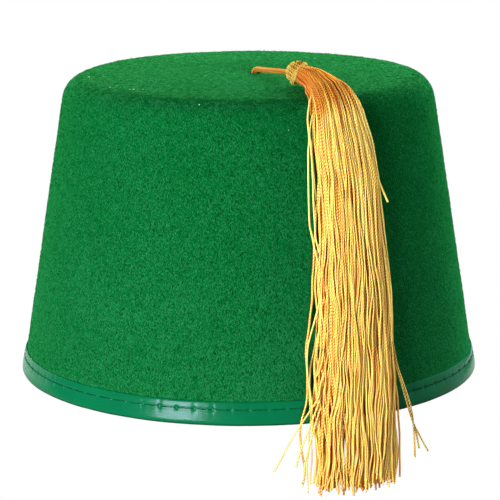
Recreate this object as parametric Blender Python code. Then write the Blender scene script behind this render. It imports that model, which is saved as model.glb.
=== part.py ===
"""Felt fez with a folded rim binding and a tassel that hangs over the edge of its top.

The frame's origin is the middle of the rim's opening, at the bottom of the binding.
+Z is up, the front of the hat faces -Y, and +X is the wearer's left.
"""

import math

import bmesh
import bpy
import numpy as np
from mathutils import Vector

MM = 0.001
TURN = 2.0 * math.pi
MERGE_DISTANCE = 0.001 * MM
SHARP_ANGLE = math.radians(40)

# Felt crown: a cone with a domed top, which sinks a little in the middle, where the cord
# pulls on it. The cone leans a little to +X, as the stiffened felt dried.
FELT_THICKNESS = 2.0 * MM
FELT_EDGE_HEIGHT = 1.0 * MM
RIM_RADIUS = 94.8 * MM
TOP_RADIUS = 75.55 * MM
WALL_HEIGHT = 123.14 * MM
TOP_RISE = 2.0 * MM
CENTRE_SINK = 1.2 * MM
SINK_RADIUS = 30.0 * MM
SHOULDER_RADIUS = 10.4 * MM
CROWN_LEAN = 0.6 * MM

# Where the cord comes through the top, a little off the middle.
HOLE_RADIUS = 2.9 * MM
HOLE_CENTRE = Vector((3.1 * MM, 0.2 * MM))
HOLE_BLEND_RADIUS = 26.0 * MM

# Rim binding: a strip folded round the felt's edge, a gap clear of it.
GAP = 0.3 * MM
BINDING_THICKNESS = 0.5 * MM
BINDING_HEIGHT = 9.5 * MM
BINDING_INSIDE_HEIGHT = 8.5 * MM
FOLD_HEIGHT = 0.9 * MM

# Tassel cord, with its hidden knot under the felt. The route runs from there to the tassel.
CORD_DIAMETER = 2.3 * MM
CORD_STEP = 2.2 * MM
STOPS_PER_SPAN = 12
CORD_ROUTE = (
    (0.00266, 0.00132, 0.12258),
    (0.00282, 0.00094, 0.12335),
    (0.00300, 0.00050, 0.12397),
    (0.00331, -0.00024, 0.12466),
    (0.00369, -0.00116, 0.12520),
    (0.00411, -0.00218, 0.12546),
    (0.00543, -0.00535, 0.12579),
    (0.00675, -0.00852, 0.12610),
    (0.00807, -0.01170, 0.12644),
    (0.00939, -0.01487, 0.12678),
    (0.01071, -0.01804, 0.12712),
    (0.01202, -0.02122, 0.12746),
    (0.01334, -0.02439, 0.12780),
    (0.01466, -0.02756, 0.12814),
    (0.01598, -0.03074, 0.12848),
    (0.01730, -0.03391, 0.12882),
    (0.01862, -0.03708, 0.12916),
)
ANCHOR_RADIUS = 3.6 * MM
ANCHOR_HEIGHT = 5.0 * MM
ANCHOR_FLAT_RADIUS = 2.8 * MM

# Tassel: a ball of wound thread, then the threads as one mass that lies over the shoulder.
TASSEL_AZIMUTH = math.radians(25.5)
KNOT_DISTANCE = 46.5 * MM
KNOT_RADIUS = 5.0 * MM
KNOT_NECK_OFFSET = 4.0 * MM
# One row for each section of the threads' mass. "along" is measured over the hat from the
# middle of its top, azimuth from the front towards +X, and lift from the felt.
SKIRT_TABLE = ("along_mm", "azimuth_deg", "width_mm", "thickness_mm", "lift_mm")
SKIRT_SECTIONS = (
    (50.8, 25.5, 6.4, 5.8, 2.6),
    (55.0, 28.0, 12.0, 6.5, 1.8),
    (60.0, 28.9, 16.0, 6.7, 1.2),
    (66.0, 28.1, 19.2, 6.3, 0.8),
    (73.0, 26.5, 21.8, 6.0, 0.6),
    (80.0, 26.0, 25.2, 6.1, 0.6),
    (90.0, 27.0, 28.2, 6.4, 0.6),
    (104.0, 27.8, 27.8, 6.8, 0.6),
    (120.0, 27.9, 28.4, 7.0, 0.6),
    (135.0, 27.4, 31.2, 7.2, 0.6),
    (150.0, 27.1, 33.6, 7.4, 0.6),
    (170.0, 26.1, 34.0, 7.6, 0.6),
    (184.0, 25.4, 35.0, 7.9, 1.2),
    (198.0, 24.7, 35.6, 8.0, 1.3),
    (212.0, 24.8, 36.0, 8.0, 1.3),
    (224.5, 24.3, 34.6, 7.6, 1.3),
)
SKIRT_STEP = 5.0 * MM
LOWEST_THREAD = -60.0 * MM
SKIRT_FACES_ACROSS = 12
SKIRT_ROUNDNESS = 2.4

# How finely round things are faceted.
CROWN_SEGMENTS = 72
TOP_RINGS = 8
SHOULDER_RINGS = 6
WALL_RINGS = 4
FOLD_POINTS = 6
KNOT_SEGMENTS = 20
KNOT_RINGS = 10


def plain_material(name, colour, roughness, sheen=0.0):
    """A Principled material with one colour."""
    material = bpy.data.materials.new(name)
    material.use_nodes = True
    shader = material.node_tree.nodes["Principled BSDF"]
    shader.inputs["Base Color"].default_value = (*colour, 1.0)
    shader.inputs["Roughness"].default_value = roughness
    shader.inputs["Metallic"].default_value = 0.0
    shader.inputs["Sheen Weight"].default_value = sheen
    return material


def mesh_object(name, bm, material):
    """One named object from a bmesh: doubles merged, faces out, shaded smooth."""
    bmesh.ops.remove_doubles(bm, verts=bm.verts, dist=MERGE_DISTANCE)
    bmesh.ops.recalc_face_normals(bm, faces=bm.faces)
    mesh = bpy.data.meshes.new(name)
    bm.to_mesh(mesh)
    bm.free()
    mesh.shade_smooth()
    mesh.set_sharp_from_angle(angle=SHARP_ANGLE)
    mesh.materials.append(material)
    obj = bpy.data.objects.new(name, mesh)
    bpy.context.collection.objects.link(obj)
    return obj


def spun_bmesh(section, segments, closed):
    """Turn a section of (radius, height) points about +Z. A closed one joins its ends."""
    bm = bmesh.new()
    verts = [bm.verts.new((radius, 0.0, height)) for radius, height in section]
    edges = [bm.edges.new(pair) for pair in zip(verts, verts[1:])]
    if closed:
        edges.append(bm.edges.new((verts[-1], verts[0])))
    bmesh.ops.spin(
        bm,
        geom=verts + edges,
        axis=(0.0, 0.0, 1.0),
        cent=(0.0, 0.0, 0.0),
        angle=TURN,
        steps=segments,
        use_merge=True,
    )
    return bm


WALL_SLOPE = (RIM_RADIUS - TOP_RADIUS) / WALL_HEIGHT
WALL_NORMAL = np.array((math.cos(math.atan(WALL_SLOPE)), math.sin(math.atan(WALL_SLOPE))))


def wall_radius(height):
    """The felt's outer radius on the cone."""
    return RIM_RADIUS - WALL_SLOPE * height


def top_height(radius):
    """The felt's outer height on the domed top."""
    rise = TOP_RISE * (1.0 - (radius / TOP_RADIUS) ** 2)
    sink = CENTRE_SINK * max(0.0, 1.0 - (radius / SINK_RADIUS) ** 2) ** 2
    return WALL_HEIGHT + rise - sink


def top_tilt(radius):
    """How steeply the top falls away outwards there, as an angle."""
    return math.atan2(top_height(radius) - top_height(radius + MM), MM)


def crown_outline():
    """The crown's outer outline, hole to edge: (radius, height) points and their normals.

    The shoulder is an arc that touches the top and the cone, where the two would meet.
    """
    edge_tilt = math.atan(2.0 * TOP_RISE / TOP_RADIUS)
    top_normal = np.array((math.sin(edge_tilt), math.cos(edge_tilt)))
    top_along = np.array((math.cos(edge_tilt), -math.sin(edge_tilt)))
    corner = np.array((TOP_RADIUS, WALL_HEIGHT))
    turn = math.acos(float(top_normal @ WALL_NORMAL))
    arc_start = corner - top_along * SHOULDER_RADIUS * math.tan(turn / 2.0)
    arc_centre = arc_start - top_normal * SHOULDER_RADIUS

    points, normals = [], []
    for radius in np.linspace(HOLE_RADIUS, arc_start[0], TOP_RINGS):
        tilt = top_tilt(radius)
        points.append((radius, top_height(radius)))
        normals.append((math.sin(tilt), math.cos(tilt)))
    for share in np.linspace(0.0, 1.0, SHOULDER_RINGS + 1)[1:]:
        angle = edge_tilt + turn * share
        normal = np.array((math.sin(angle), math.cos(angle)))
        points.append(tuple(arc_centre + normal * SHOULDER_RADIUS))
        normals.append(tuple(normal))
    for height in np.linspace(points[-1][1], FELT_EDGE_HEIGHT, WALL_RINGS + 1)[1:]:
        points.append((wall_radius(height), height))
        normals.append(tuple(WALL_NORMAL))
    return np.array(points), np.array(normals)


def leaning(bm):
    """Lean a turned shape to +X with its height, as the whole hat leans."""
    for vert in bm.verts:
        vert.co.x += CROWN_LEAN * vert.co.z / WALL_HEIGHT
    return bm


def make_crown(felt):
    """A felt shell, open below, with the cord's hole in its top."""
    outer, normals = crown_outline()
    inner = outer - normals * FELT_THICKNESS
    inner[0, 0] = HOLE_RADIUS
    inner[-1] = outer[-1] - np.array((FELT_THICKNESS / WALL_NORMAL[0], 0.0))
    section = [tuple(point) for point in (*outer, *inner[::-1])]
    bm = spun_bmesh(section, CROWN_SEGMENTS, closed=True)
    # The rings near the hole are about the hole, and the rest about the hat's axis.
    for vert in bm.verts:
        radius = vert.co.xy.length
        if radius < HOLE_BLEND_RADIUS and vert.co.z > WALL_HEIGHT / 2.0:
            share = (HOLE_BLEND_RADIUS - radius) / (HOLE_BLEND_RADIUS - HOLE_RADIUS)
            vert.co.xy += HOLE_CENTRE * share
    return mesh_object("crown", leaning(bm), felt)


def make_binding(vinyl):
    """A strip folded under the rim: an outer leg, a round fold and an inner leg."""
    middle = wall_radius(FOLD_HEIGHT) - FELT_THICKNESS / 2.0
    half_inside = FELT_THICKNESS / 2.0 + GAP
    half_outside = half_inside + BINDING_THICKNESS

    def leg(half, height):
        return (middle + half - WALL_SLOPE * (height - FOLD_HEIGHT), height)

    def fold(half, depth):
        angles = np.linspace(0.0, math.pi, FOLD_POINTS + 2)
        return [
            (middle + half * math.cos(a), FOLD_HEIGHT - depth * math.sin(a)) for a in angles
        ]

    outside = [leg(half_outside, BINDING_HEIGHT), *fold(half_outside, FOLD_HEIGHT)]
    outside.append(leg(-half_outside, BINDING_INSIDE_HEIGHT))
    inside = [leg(-half_inside, BINDING_INSIDE_HEIGHT)]
    inside += fold(half_inside, FOLD_HEIGHT - BINDING_THICKNESS)[::-1]
    inside.append(leg(half_inside, BINDING_HEIGHT))
    bm = spun_bmesh(outside + inside, CROWN_SEGMENTS, closed=True)
    return mesh_object("rim_binding", leaning(bm), vinyl)


def smooth_route(points, step):
    """Points a step apart on one smooth curve through the route's own points."""
    route = [Vector(point) for point in points]
    padded = [2 * route[0] - route[1], *route, 2 * route[-1] - route[-2]]
    fine = []
    for p0, p1, p2, p3 in zip(padded, padded[1:], padded[2:], padded[3:]):
        for t in np.linspace(0.0, 1.0, STOPS_PER_SPAN, endpoint=False):
            fine.append(
                0.5
                * (
                    2 * p1
                    + (p2 - p0) * t
                    + (2 * p0 - 5 * p1 + 4 * p2 - p3) * t**2
                    + (3 * p1 - p0 - 3 * p2 + p3) * t**3
                )
            )
    fine = np.array([*fine, route[-1]])
    along = np.concatenate(([0.0], np.cumsum(np.linalg.norm(np.diff(fine, axis=0), axis=1))))
    stops = np.linspace(0.0, along[-1], round(along[-1] / step) + 1)
    return [[float(np.interp(s, along, fine[:, axis])) for axis in range(3)] for s in stops]


def make_cord(thread):
    """The cord, a plain tube from its knot under the felt to the tassel's ball."""
    points = smooth_route(CORD_ROUTE, CORD_STEP)
    curve = bpy.data.curves.new("tassel_cord", "CURVE")
    curve.dimensions = "3D"
    curve.bevel_depth = CORD_DIAMETER / 2.0
    curve.bevel_resolution = 2
    curve.use_fill_caps = True
    spline = curve.splines.new("POLY")
    spline.points.add(len(points) - 1)
    for spot, point in zip(spline.points, points):
        spot.co = (*point, 1.0)
    curve.materials.append(thread)
    obj = bpy.data.objects.new("tassel_cord", curve)
    bpy.context.collection.objects.link(obj)
    return obj


def make_anchor(thread):
    """The knot inside the crown that keeps the cord from pulling out."""
    angles = np.linspace(0.0, math.pi, KNOT_RINGS)
    section = [(0.0, 0.0), (ANCHOR_FLAT_RADIUS, 0.0)]
    for angle in angles[2:-1]:
        height = -ANCHOR_HEIGHT * (1.0 - math.cos(angle)) / 2.0
        section.append((ANCHOR_RADIUS * math.sin(angle), height))
    section.append((0.0, -ANCHOR_HEIGHT))
    bm = spun_bmesh(section, KNOT_SEGMENTS, closed=False)
    anchor = mesh_object("cord_anchor", bm, thread)
    under_felt = top_height(0.0) - FELT_THICKNESS - GAP
    anchor.location = (CORD_ROUTE[0][0], CORD_ROUTE[0][1], under_felt)
    return anchor


def hat_point(azimuth, radius, height):
    """A point by its azimuth from the front, with the hat's lean."""
    lean = CROWN_LEAN * height / WALL_HEIGHT
    return Vector((radius * math.sin(azimuth) + lean, -radius * math.cos(azimuth), height))


def make_knot(thread):
    """The tassel's ball, flat where the threads come out of it."""
    neck_angle = math.acos(KNOT_NECK_OFFSET / KNOT_RADIUS)
    section = [
        (KNOT_RADIUS * math.sin(angle), -KNOT_RADIUS * math.cos(angle))
        for angle in np.linspace(0.0, math.pi - neck_angle, KNOT_RINGS)
    ]
    section.append((0.0, KNOT_NECK_OFFSET))
    bm = spun_bmesh(section, KNOT_SEGMENTS, closed=False)
    knot = mesh_object("tassel_knot", bm, thread)
    height = top_height(KNOT_DISTANCE) + GAP + KNOT_RADIUS
    knot.location = hat_point(TASSEL_AZIMUTH, KNOT_DISTANCE, height)
    knot.rotation_euler = (math.pi / 2.0, 0.0, TASSEL_AZIMUTH)
    return knot


def over_the_hat():
    """A function from the distance over the hat to its outline's radius, height and normal.

    Below the rim the line hangs straight down, as threads do.
    """
    points, normals = crown_outline()
    middle = np.array((0.0, top_height(0.0)))
    hang = np.array((wall_radius(0.0), LOWEST_THREAD))
    points = np.vstack((middle, points, (wall_radius(0.0), 0.0), hang))
    normals = np.vstack(((0.0, 1.0), normals, (1.0, 0.0), (1.0, 0.0)))
    along = np.concatenate(([0.0], np.cumsum(np.linalg.norm(np.diff(points, axis=0), axis=1))))

    def outline_at(distance):
        radius, height = (np.interp(distance, along, points[:, axis]) for axis in (0, 1))
        normal = np.array([np.interp(distance, along, normals[:, axis]) for axis in (0, 1)])
        return radius, height, normal / np.linalg.norm(normal)

    return outline_at


def make_skirt(thread):
    """The tassel's threads as one closed mass: flat to the hat inside, rounded outside."""
    outline_at = over_the_hat()
    rows = dict(zip(SKIRT_TABLE, np.array(SKIRT_SECTIONS).T))
    along = rows["along_mm"] * MM
    stops = np.linspace(along[0], along[-1], round((along[-1] - along[0]) / SKIRT_STEP) + 1)
    across = -np.cos(np.linspace(0.0, math.pi, SKIRT_FACES_ACROSS + 1))

    def row_at(distance, column):
        return float(np.interp(distance, along, rows[column]))

    bm = bmesh.new()
    outsides, insides = [], []
    for distance in stops:
        radius, height, normal = outline_at(distance)
        azimuth = math.radians(row_at(distance, "azimuth_deg"))
        half_width = row_at(distance, "width_mm") * MM / 2.0
        thickness = row_at(distance, "thickness_mm") * MM
        lift = row_at(distance, "lift_mm") * MM
        outside, inside = [], []
        for u in across:
            bulge = max(0.0, 1.0 - abs(u) ** SKIRT_ROUNDNESS) ** (1.0 / SKIRT_ROUNDNESS)
            turned = azimuth + u * half_width / radius
            for side, rise in ((outside, lift + thickness * bulge), (inside, lift)):
                reach, level = radius + normal[0] * rise, height + normal[1] * rise
                side.append(bm.verts.new(hat_point(turned, reach, level)))
        outsides.append(outside)
        insides.append(inside)

    def strip(row, other):
        for a, b, c, d in zip(row, row[1:], other[1:], other):
            bm.faces.new((a, b, c, d))

    for first, second in zip(outsides, outsides[1:]):
        strip(first, second)
    for first, second in zip(insides, insides[1:]):
        strip(first, second)
    strip(outsides[0], insides[0])
    strip(outsides[-1], insides[-1])
    # At its two edges a section's outside and inside are one point, which merges here.
    return mesh_object("tassel_skirt", bm, thread)


def build():
    """Every piece of the hat, with its own material."""
    felt_green = (0.0065, 0.162, 0.039)
    vinyl_green = (0.004, 0.205, 0.088)
    thread_gold = (0.88, 0.49, 0.12)
    cord_orange = (0.84, 0.36, 0.09)
    make_crown(plain_material("felt", felt_green, 0.95, sheen=0.3))
    make_binding(plain_material("vinyl", vinyl_green, 0.3))
    make_cord(plain_material("cord_thread", cord_orange, 0.5))
    make_anchor(plain_material("anchor_thread", cord_orange, 0.55))
    make_knot(plain_material("knot_thread", thread_gold, 0.45))
    make_skirt(plain_material("skirt_thread", thread_gold, 0.4))


for leftover in list(bpy.data.objects):
    bpy.data.objects.remove(leftover, do_unlink=True)
build()
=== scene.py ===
import math

import bpy
import numpy as np
from mathutils import Matrix, Vector


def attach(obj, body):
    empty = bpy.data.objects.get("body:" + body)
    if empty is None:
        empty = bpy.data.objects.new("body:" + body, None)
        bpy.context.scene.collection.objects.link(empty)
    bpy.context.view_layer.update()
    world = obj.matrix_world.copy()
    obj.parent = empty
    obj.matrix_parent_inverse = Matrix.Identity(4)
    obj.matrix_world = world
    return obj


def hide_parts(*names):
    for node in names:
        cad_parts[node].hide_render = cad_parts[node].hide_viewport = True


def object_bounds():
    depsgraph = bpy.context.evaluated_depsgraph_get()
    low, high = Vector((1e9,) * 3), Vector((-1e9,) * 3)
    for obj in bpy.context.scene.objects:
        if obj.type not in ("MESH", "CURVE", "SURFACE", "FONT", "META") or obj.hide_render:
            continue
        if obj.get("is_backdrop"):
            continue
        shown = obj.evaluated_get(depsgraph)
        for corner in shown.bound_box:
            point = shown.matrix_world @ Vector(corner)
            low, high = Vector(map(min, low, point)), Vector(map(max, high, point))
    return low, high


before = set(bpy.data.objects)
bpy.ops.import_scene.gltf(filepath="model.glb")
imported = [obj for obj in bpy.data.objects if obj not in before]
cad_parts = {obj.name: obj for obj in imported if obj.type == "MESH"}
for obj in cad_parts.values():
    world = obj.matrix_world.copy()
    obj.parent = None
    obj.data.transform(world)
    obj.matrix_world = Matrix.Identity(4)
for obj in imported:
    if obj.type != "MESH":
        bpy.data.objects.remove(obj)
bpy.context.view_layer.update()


# ---- Felt crown ----
# One piece of 2 mm felt, steamed over a block into a cone with a nearly flat top and a
# round shoulder. The top sinks a little in the middle, where the tassel's cord goes in.
MM = 0.001
TURN = 2.0 * math.pi
FELT_THICKNESS = 2.0 * MM
FELT_EDGE_HEIGHT = 1.0 * MM
RIM_RADIUS = 94.8 * MM
TOP_RADIUS = 75.55 * MM
WALL_HEIGHT = 123.14 * MM
TOP_RISE = 2.0 * MM
CENTRE_SINK = 1.2 * MM
SINK_RADIUS = 30.0 * MM
SHOULDER_RADIUS = 10.4 * MM
CROWN_LEAN = 0.6 * MM
LOWEST_THREAD = -60.0 * MM
TOP_STEPS, SHOULDER_STEPS, WALL_STEPS = 90, 24, 60
WALL_SLOPE = (RIM_RADIUS - TOP_RADIUS) / WALL_HEIGHT


def felt_outline():
    """The felt's outline, from the middle of the top to its edge, then straight down below.

    The columns are the distance over the hat, the radius, the height and the tilt from +Z.
    """
    edge_tilt = math.atan(2.0 * TOP_RISE / TOP_RADIUS)
    wall_tilt = math.pi / 2.0 - math.atan(WALL_SLOPE)
    turn = wall_tilt - edge_tilt
    reach = SHOULDER_RADIUS * math.tan(turn / 2.0)
    arc_start = np.array((TOP_RADIUS, WALL_HEIGHT)) + reach * np.array(
        (-math.cos(edge_tilt), math.sin(edge_tilt))
    )
    arc_centre = arc_start - SHOULDER_RADIUS * np.array((math.sin(edge_tilt), math.cos(edge_tilt)))

    top = np.linspace(0.0, arc_start[0], TOP_STEPS)
    sink = CENTRE_SINK * np.maximum(0.0, 1.0 - (top / SINK_RADIUS) ** 2) ** 2
    top_height = WALL_HEIGHT + TOP_RISE * (1.0 - (top / TOP_RADIUS) ** 2) - sink
    top_tilt = np.arctan(-np.gradient(top_height, top))
    angles = np.linspace(edge_tilt, wall_tilt, SHOULDER_STEPS)[1:]
    wall_start = arc_centre[1] + SHOULDER_RADIUS * math.cos(wall_tilt)
    wall_height = np.linspace(wall_start, 0.0, WALL_STEPS)[1:]
    radius = np.concatenate(
        (
            top,
            arc_centre[0] + SHOULDER_RADIUS * np.sin(angles),
            RIM_RADIUS - WALL_SLOPE * wall_height,
            (RIM_RADIUS, RIM_RADIUS),
        )
    )
    height = np.concatenate(
        (
            top_height,
            arc_centre[1] + SHOULDER_RADIUS * np.cos(angles),
            wall_height,
            (-6.0 * MM, LOWEST_THREAD),
        )
    )
    tilt = np.concatenate(
        (top_tilt, angles, np.full(len(wall_height), wall_tilt), (math.pi / 2.0,) * 2)
    )
    steps = np.hypot(np.diff(radius), np.diff(height))
    return np.concatenate(([0.0], np.cumsum(steps))), radius, height, tilt


OUTLINE = felt_outline()
EDGE_DISTANCE = float(np.interp(-FELT_EDGE_HEIGHT, -OUTLINE[2], OUTLINE[0]))


def start_with(add_primitive, **settings):
    """A new object from a primitive's operator, alone selected, in edit mode."""
    bpy.ops.object.select_all(action="DESELECT")
    add_primitive(**settings)
    bpy.ops.object.mode_set(mode="EDIT")
    return bpy.context.object


def apply_modifier(piece, kind, **settings):
    """Add a modifier to a piece and apply it."""
    modifier = piece.modifiers.new(kind.lower(), kind)
    for setting, value in settings.items():
        setattr(modifier, setting, value)
    bpy.context.view_layer.objects.active = piece
    bpy.ops.object.modifier_apply(modifier=modifier.name)


def lumps(name, size):
    """A cloud texture that a Displace modifier reads."""
    texture = bpy.data.textures.new(name, "CLOUDS")
    texture.noise_scale = size
    return texture


CROWN_SEGMENTS = 72
WAVE_SIZE, WAVE_HEIGHT = 0.03, 0.5 * MM
CLUMP_SIZE, CLUMP_HEIGHT = 0.004, 0.18 * MM
HOLE_CENTRE = Vector((3.05, 0.35)) * MM
HOLE_RADIUS = 2.0 * MM
HOLE_BLEND = 26.0 * MM
LIP_RINGS = ((2.6 * MM, 0.25 * MM), (HOLE_RADIUS, 1.1 * MM))
WALL_STOPS = np.linspace(EDGE_DISTANCE, 84.0 * MM, 16)
SHOULDER_STOPS = np.linspace(84.0 * MM, 66.0 * MM, 7)[1:]
TOP_STOPS = np.array((60.0, 53.0, 46.0, 39.0, 32.0, 25.0, 18.0, 11.0, 6.0, 3.6)) * MM

crown = start_with(bpy.ops.mesh.primitive_circle_add, vertices=CROWN_SEGMENTS, radius=1.0)
bpy.ops.transform.resize(value=(RIM_RADIUS,) * 3)
crown_radius, crown_centre = RIM_RADIUS, Vector((0.0, 0.0, 0.0))
for stop in np.concatenate((WALL_STOPS, SHOULDER_STOPS, TOP_STOPS)):
    radius, height = (float(np.interp(stop, OUTLINE[0], column)) for column in OUTLINE[1:3])
    near_hole = max(0.0, (HOLE_BLEND - radius) / (HOLE_BLEND - HOLE_RADIUS))
    centre = Vector((CROWN_LEAN * height / WALL_HEIGHT, 0.0, height))
    centre += (HOLE_CENTRE * near_hole).to_3d()
    if stop != WALL_STOPS[0]:
        bpy.ops.mesh.extrude_region_move()
    bpy.ops.transform.translate(value=centre - crown_centre)
    scale = radius / crown_radius
    bpy.ops.transform.resize(value=(scale, scale, 1.0), center_override=centre)
    crown_radius, crown_centre = radius, centre
# The lip turns down into the hole, where the cord draws it in.
for radius, drop in LIP_RINGS:
    bpy.ops.mesh.extrude_region_move(TRANSFORM_OT_translate={"value": (0.0, 0.0, -drop)})
    crown_centre.z -= drop
    scale = radius / crown_radius
    bpy.ops.transform.resize(value=(scale, scale, 1.0), center_override=crown_centre)
    crown_radius = radius
bpy.ops.mesh.select_all(action="SELECT")
bpy.ops.mesh.normals_make_consistent(inside=False)
bpy.ops.object.mode_set(mode="OBJECT")
crown.name = crown.data.name = "felt_crown"
apply_modifier(crown, "SOLIDIFY", thickness=FELT_THICKNESS, offset=-1.0)
apply_modifier(crown, "SUBSURF", levels=2, render_levels=2)
apply_modifier(crown, "DISPLACE", texture=lumps("felt_waves", WAVE_SIZE), strength=WAVE_HEIGHT)
apply_modifier(crown, "DISPLACE", texture=lumps("felt_clumps", CLUMP_SIZE), strength=CLUMP_HEIGHT)
bpy.ops.object.shade_smooth()


def node(tree, kind, inputs=None, **settings):
    """A shader node with its settings. Inputs are set to a value or linked from a socket."""
    made = tree.nodes.new("ShaderNode" + kind)
    for setting, value in settings.items():
        setattr(made, setting, value)
    for name, value in (inputs or {}).items():
        if isinstance(value, bpy.types.NodeSocket):
            tree.links.new(value, made.inputs[name])
        else:
            made.inputs[name].default_value = value
    return made


def maths(tree, operation, *values):
    """The result of a Math node on numbers or sockets."""
    return node(tree, "Math", dict(enumerate(values)), operation=operation).outputs[0]


def stretch(tree, place, factors):
    """A place with its three directions drawn out by the factors."""
    return node(tree, "VectorMath", {0: place, 1: factors}, operation="MULTIPLY").outputs[0]


def noise(tree, place, scale, detail=2.0, roughness=0.5, distortion=0.0):
    """Cloudy values from 0 to 1 over a place."""
    inputs = {
        "Vector": place, "Scale": scale, "Detail": detail, "Roughness": roughness,
        "Distortion": distortion,
    }
    return node(tree, "TexNoise", inputs).outputs["Fac"]


def mapped(tree, value, from_low, from_high, to_low=0.0, to_high=1.0):
    """A value moved from one range to another, and held inside it."""
    inputs = {
        "Value": value, "From Min": from_low, "From Max": from_high, "To Min": to_low,
        "To Max": to_high,
    }
    return node(tree, "MapRange", inputs).outputs["Result"]


def raise_surface(tree, shader, height, strength, distance):
    """Bump a shader's surface by a height."""
    bump = node(tree, "Bump", {"Height": height, "Strength": strength, "Distance": distance})
    tree.links.new(bump.outputs["Normal"], shader.inputs["Normal"])


def new_material(name, constants):
    """A material, its tree and its Principled shader, with the constant sockets set."""
    material = bpy.data.materials.new(name)
    material.use_nodes = True
    shader = material.node_tree.nodes["Principled BSDF"]
    for socket, value in constants.items():
        shader.inputs[socket].default_value = value
    return material, material.node_tree, shader


def new_group(name, inputs, outputs):
    """A shader node group with named sockets, and its input and output nodes."""
    group = bpy.data.node_groups.new(name, "ShaderNodeTree")
    for socket, (kind, value) in inputs.items():
        made = group.interface.new_socket(socket, in_out="INPUT", socket_type="NodeSocket" + kind)
        if value is not None:
            made.default_value = value
    for socket, kind in outputs.items():
        group.interface.new_socket(socket, in_out="OUTPUT", socket_type="NodeSocket" + kind)
    return group, group.nodes.new("NodeGroupInput"), group.nodes.new("NodeGroupOutput")


STROKE_STRETCH = (1.0, 1.0, 0.53)
GRAIN_RANGE = (0.32, 0.68)


def fibre_grain_group():
    """Matted fibres: soft clumps, and fine short strokes down the walls."""
    group, ins, outs = new_group(
        "fibre_grain",
        {
            "Position": ("Vector", None),
            "Clump Scale": ("Float", 450.0),
            "Stroke Scale": ("Float", 2800.0),
            "Stroke Share": ("Float", 0.85),
        },
        {"Tone": "Float", "Height": "Float"},
    )
    place = ins.outputs["Position"]
    clumps = noise(group, place, ins.outputs["Clump Scale"], roughness=0.6, distortion=0.4)
    drawn_down = stretch(group, place, STROKE_STRETCH)
    strokes = noise(group, drawn_down, ins.outputs["Stroke Scale"], detail=1.0)
    height = node(
        group, "Mix", {"Factor": ins.outputs["Stroke Share"], 2: clumps, 3: strokes},
        data_type="FLOAT",
    ).outputs[0]
    group.links.new(mapped(group, height, *GRAIN_RANGE), outs.inputs["Tone"])
    group.links.new(height, outs.inputs["Height"])
    return group


FIBRE_GRAIN = fibre_grain_group()
# Paler fibres are greyer too, so a ramp and no plain mix runs from dark to light.
FELT_COLOURS = (
    (0.0, (0.0001, 0.065, 0.0078)), (0.5, (0.0012, 0.089, 0.0184)), (1.0, (0.0125, 0.139, 0.047)),
)
TOP_BAND = (118.0 * MM, 123.0 * MM)
# The wall's value, then the top's.
STROKE_SHARES = (0.85, 0.65)
GRAIN_CONTRASTS = (1.2, 4.2)
MIDDLE_TONES = (0.5, 0.37)
PATCH_SCALE = 32.0
PATCH_TONE = 0.06
# Painted light towards the rim and painted shade at the shoulder, added to the felt's tone.
RIM_PAINTED_LIGHT = 0.11
SHOULDER_PAINTED_SHADE = -0.10


def colour_ramp(tree, factor, stops):
    """A colour ramp through stops of (place, colour)."""
    made = node(tree, "ValToRGB", {"Fac": factor})
    elements = made.color_ramp.elements
    while len(elements) < len(stops):
        elements.new(0.5)
    for element, (place, colour) in zip(elements, stops):
        element.position = place
        element.color = (*colour, 1.0)
    return made.outputs["Color"]


def felt_material(name, bump):
    """Green felt: grain in its colour and its surface, slow patches of paler felt, and painted
    light towards the rim and painted shade at the shoulder.

    A piece whose points carry a fibre_tone is lighter or darker by that much.
    """
    material, tree, shader = new_material(
        name,
        {"Roughness": 1.0, "Specular IOR Level": 0.0, "Sheen Weight": 0.01,
         "Sheen Roughness": 0.5, "Sheen Tint": (0.4, 0.9, 0.15, 1.0)},
    )
    place = node(tree, "TexCoord").outputs["Object"]
    height = node(tree, "SeparateXYZ", {"Vector": place}).outputs["Z"]
    # The top is rubbed less than the wall, and keeps a darker, rougher and clumpier nap.
    share, contrast, middle = (
        mapped(tree, height, *TOP_BAND, wall, top)
        for wall, top in (STROKE_SHARES, GRAIN_CONTRASTS, MIDDLE_TONES)
    )
    grain = node(tree, "Group", {"Position": place, "Stroke Share": share}, node_tree=FIBRE_GRAIN)
    patch = mapped(tree, noise(tree, place, PATCH_SCALE), 0.3, 0.7, -PATCH_TONE, PATCH_TONE)
    # Painted light and shade: the felt is paler towards the rim and darker at the shoulder,
    # standing in for how the light falls on the wall.
    painted_height_light = mapped(tree, height, 0.0, WALL_HEIGHT, RIM_PAINTED_LIGHT, SHOULDER_PAINTED_SHADE)
    fibre = node(tree, "Attribute", attribute_name="fibre_tone").outputs["Fac"]
    centred = maths(tree, "SUBTRACT", grain.outputs["Tone"], 0.5)
    tone = maths(tree, "MULTIPLY_ADD", centred, contrast, middle)
    for shift in (patch, painted_height_light, fibre):
        tone = maths(tree, "ADD", tone, shift)
    tree.links.new(colour_ramp(tree, tone, FELT_COLOURS), shader.inputs["Base Color"])
    raise_surface(tree, shader, grain.outputs["Height"], bump, 0.9 * MM)
    return material


crown.data.materials.append(felt_material("green_felt", 0.2))
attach(crown, "root")
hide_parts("crown")


# ---- Nap ----
# The loose ends of the felt's own fibres, brushed down the walls and matted on the top.
# They give the felt its streaks and the faint fuzz along its outline.
NAP_FIBRES = 42000
NAP_SEED = 11
NAP_CLEAR_OF_HOLE = 3.2 * MM
NAP_CLEAR_OF_EDGE = 10.2 * MM
NAP_SPREAD = 0.42
NAP_LENGTHS = (0.7 * MM, 1.8 * MM)
NAP_WIDTHS = (0.12 * MM, 0.24 * MM)
NAP_LIFT = 0.06 * MM
NAP_HIGHEST = 0.45 * MM
NAP_TONES = (-0.15, 0.3)


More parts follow.
